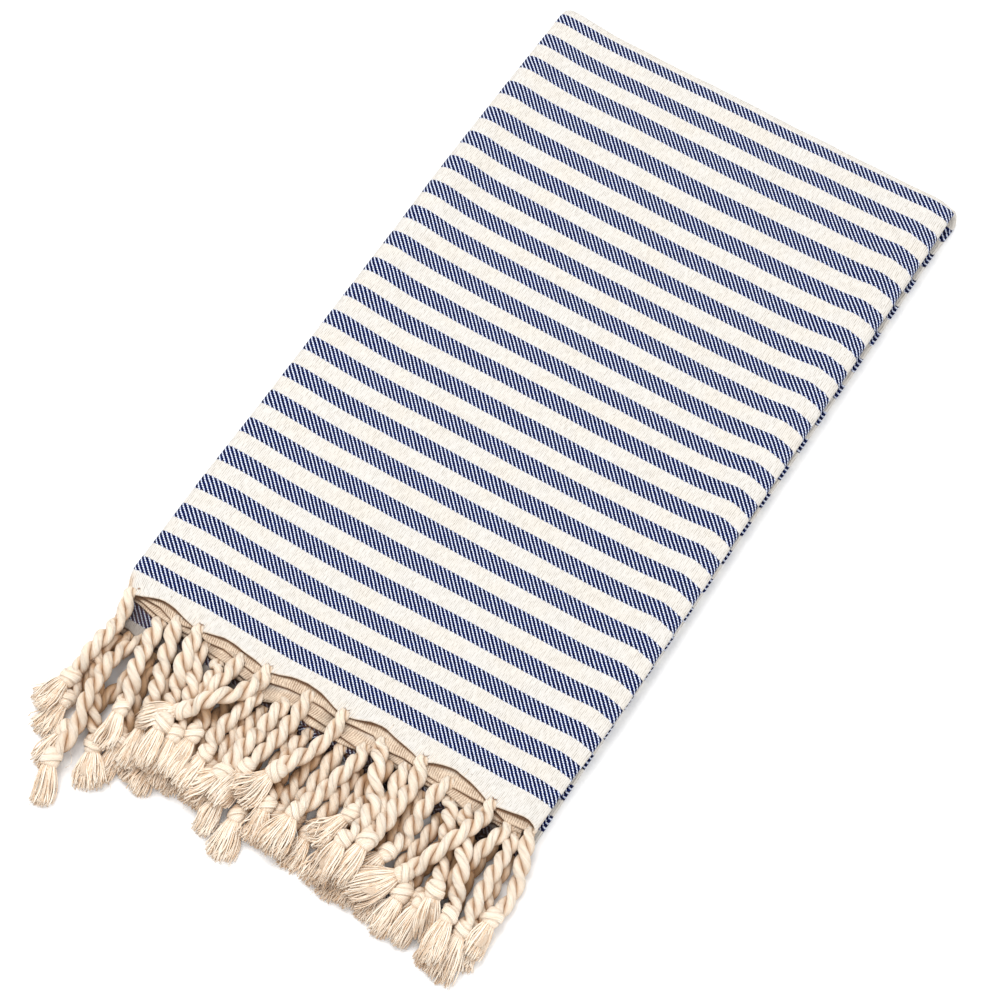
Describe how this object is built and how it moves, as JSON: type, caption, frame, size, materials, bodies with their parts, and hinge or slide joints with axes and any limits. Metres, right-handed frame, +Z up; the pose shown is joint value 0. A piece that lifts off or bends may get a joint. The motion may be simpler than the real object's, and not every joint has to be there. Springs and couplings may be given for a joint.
{
  "type": "folded hammam towel",
  "caption": "Flatwoven cotton hammam towel with narrow stripes, folded into a long flat packet, with twisted cords, knots and tassels at the near edge.",
  "frame": {"origin": "middle of the packet's flat underside, halfway between its side folds and halfway between the upper hem and the far fold", "axes": "+X across the packet, +Y along it from the fringe to the far fold, +Z up"},
  "size_m": [0.2683, 0.5517, 0.0195],
  "materials": {
    "striped_cotton": "flatwoven cotton, matte, blue twill stripes on natural cream",
    "natural_cotton": "undyed cotton yarn, matte, twisted into cords"
  },
  "bodies": {
    "root": {"towel_cloth": "striped_cotton", "fringe_upper_end": "natural_cotton", "fringe_lower_end": "natural_cotton"}
  },
  "joints": []
}
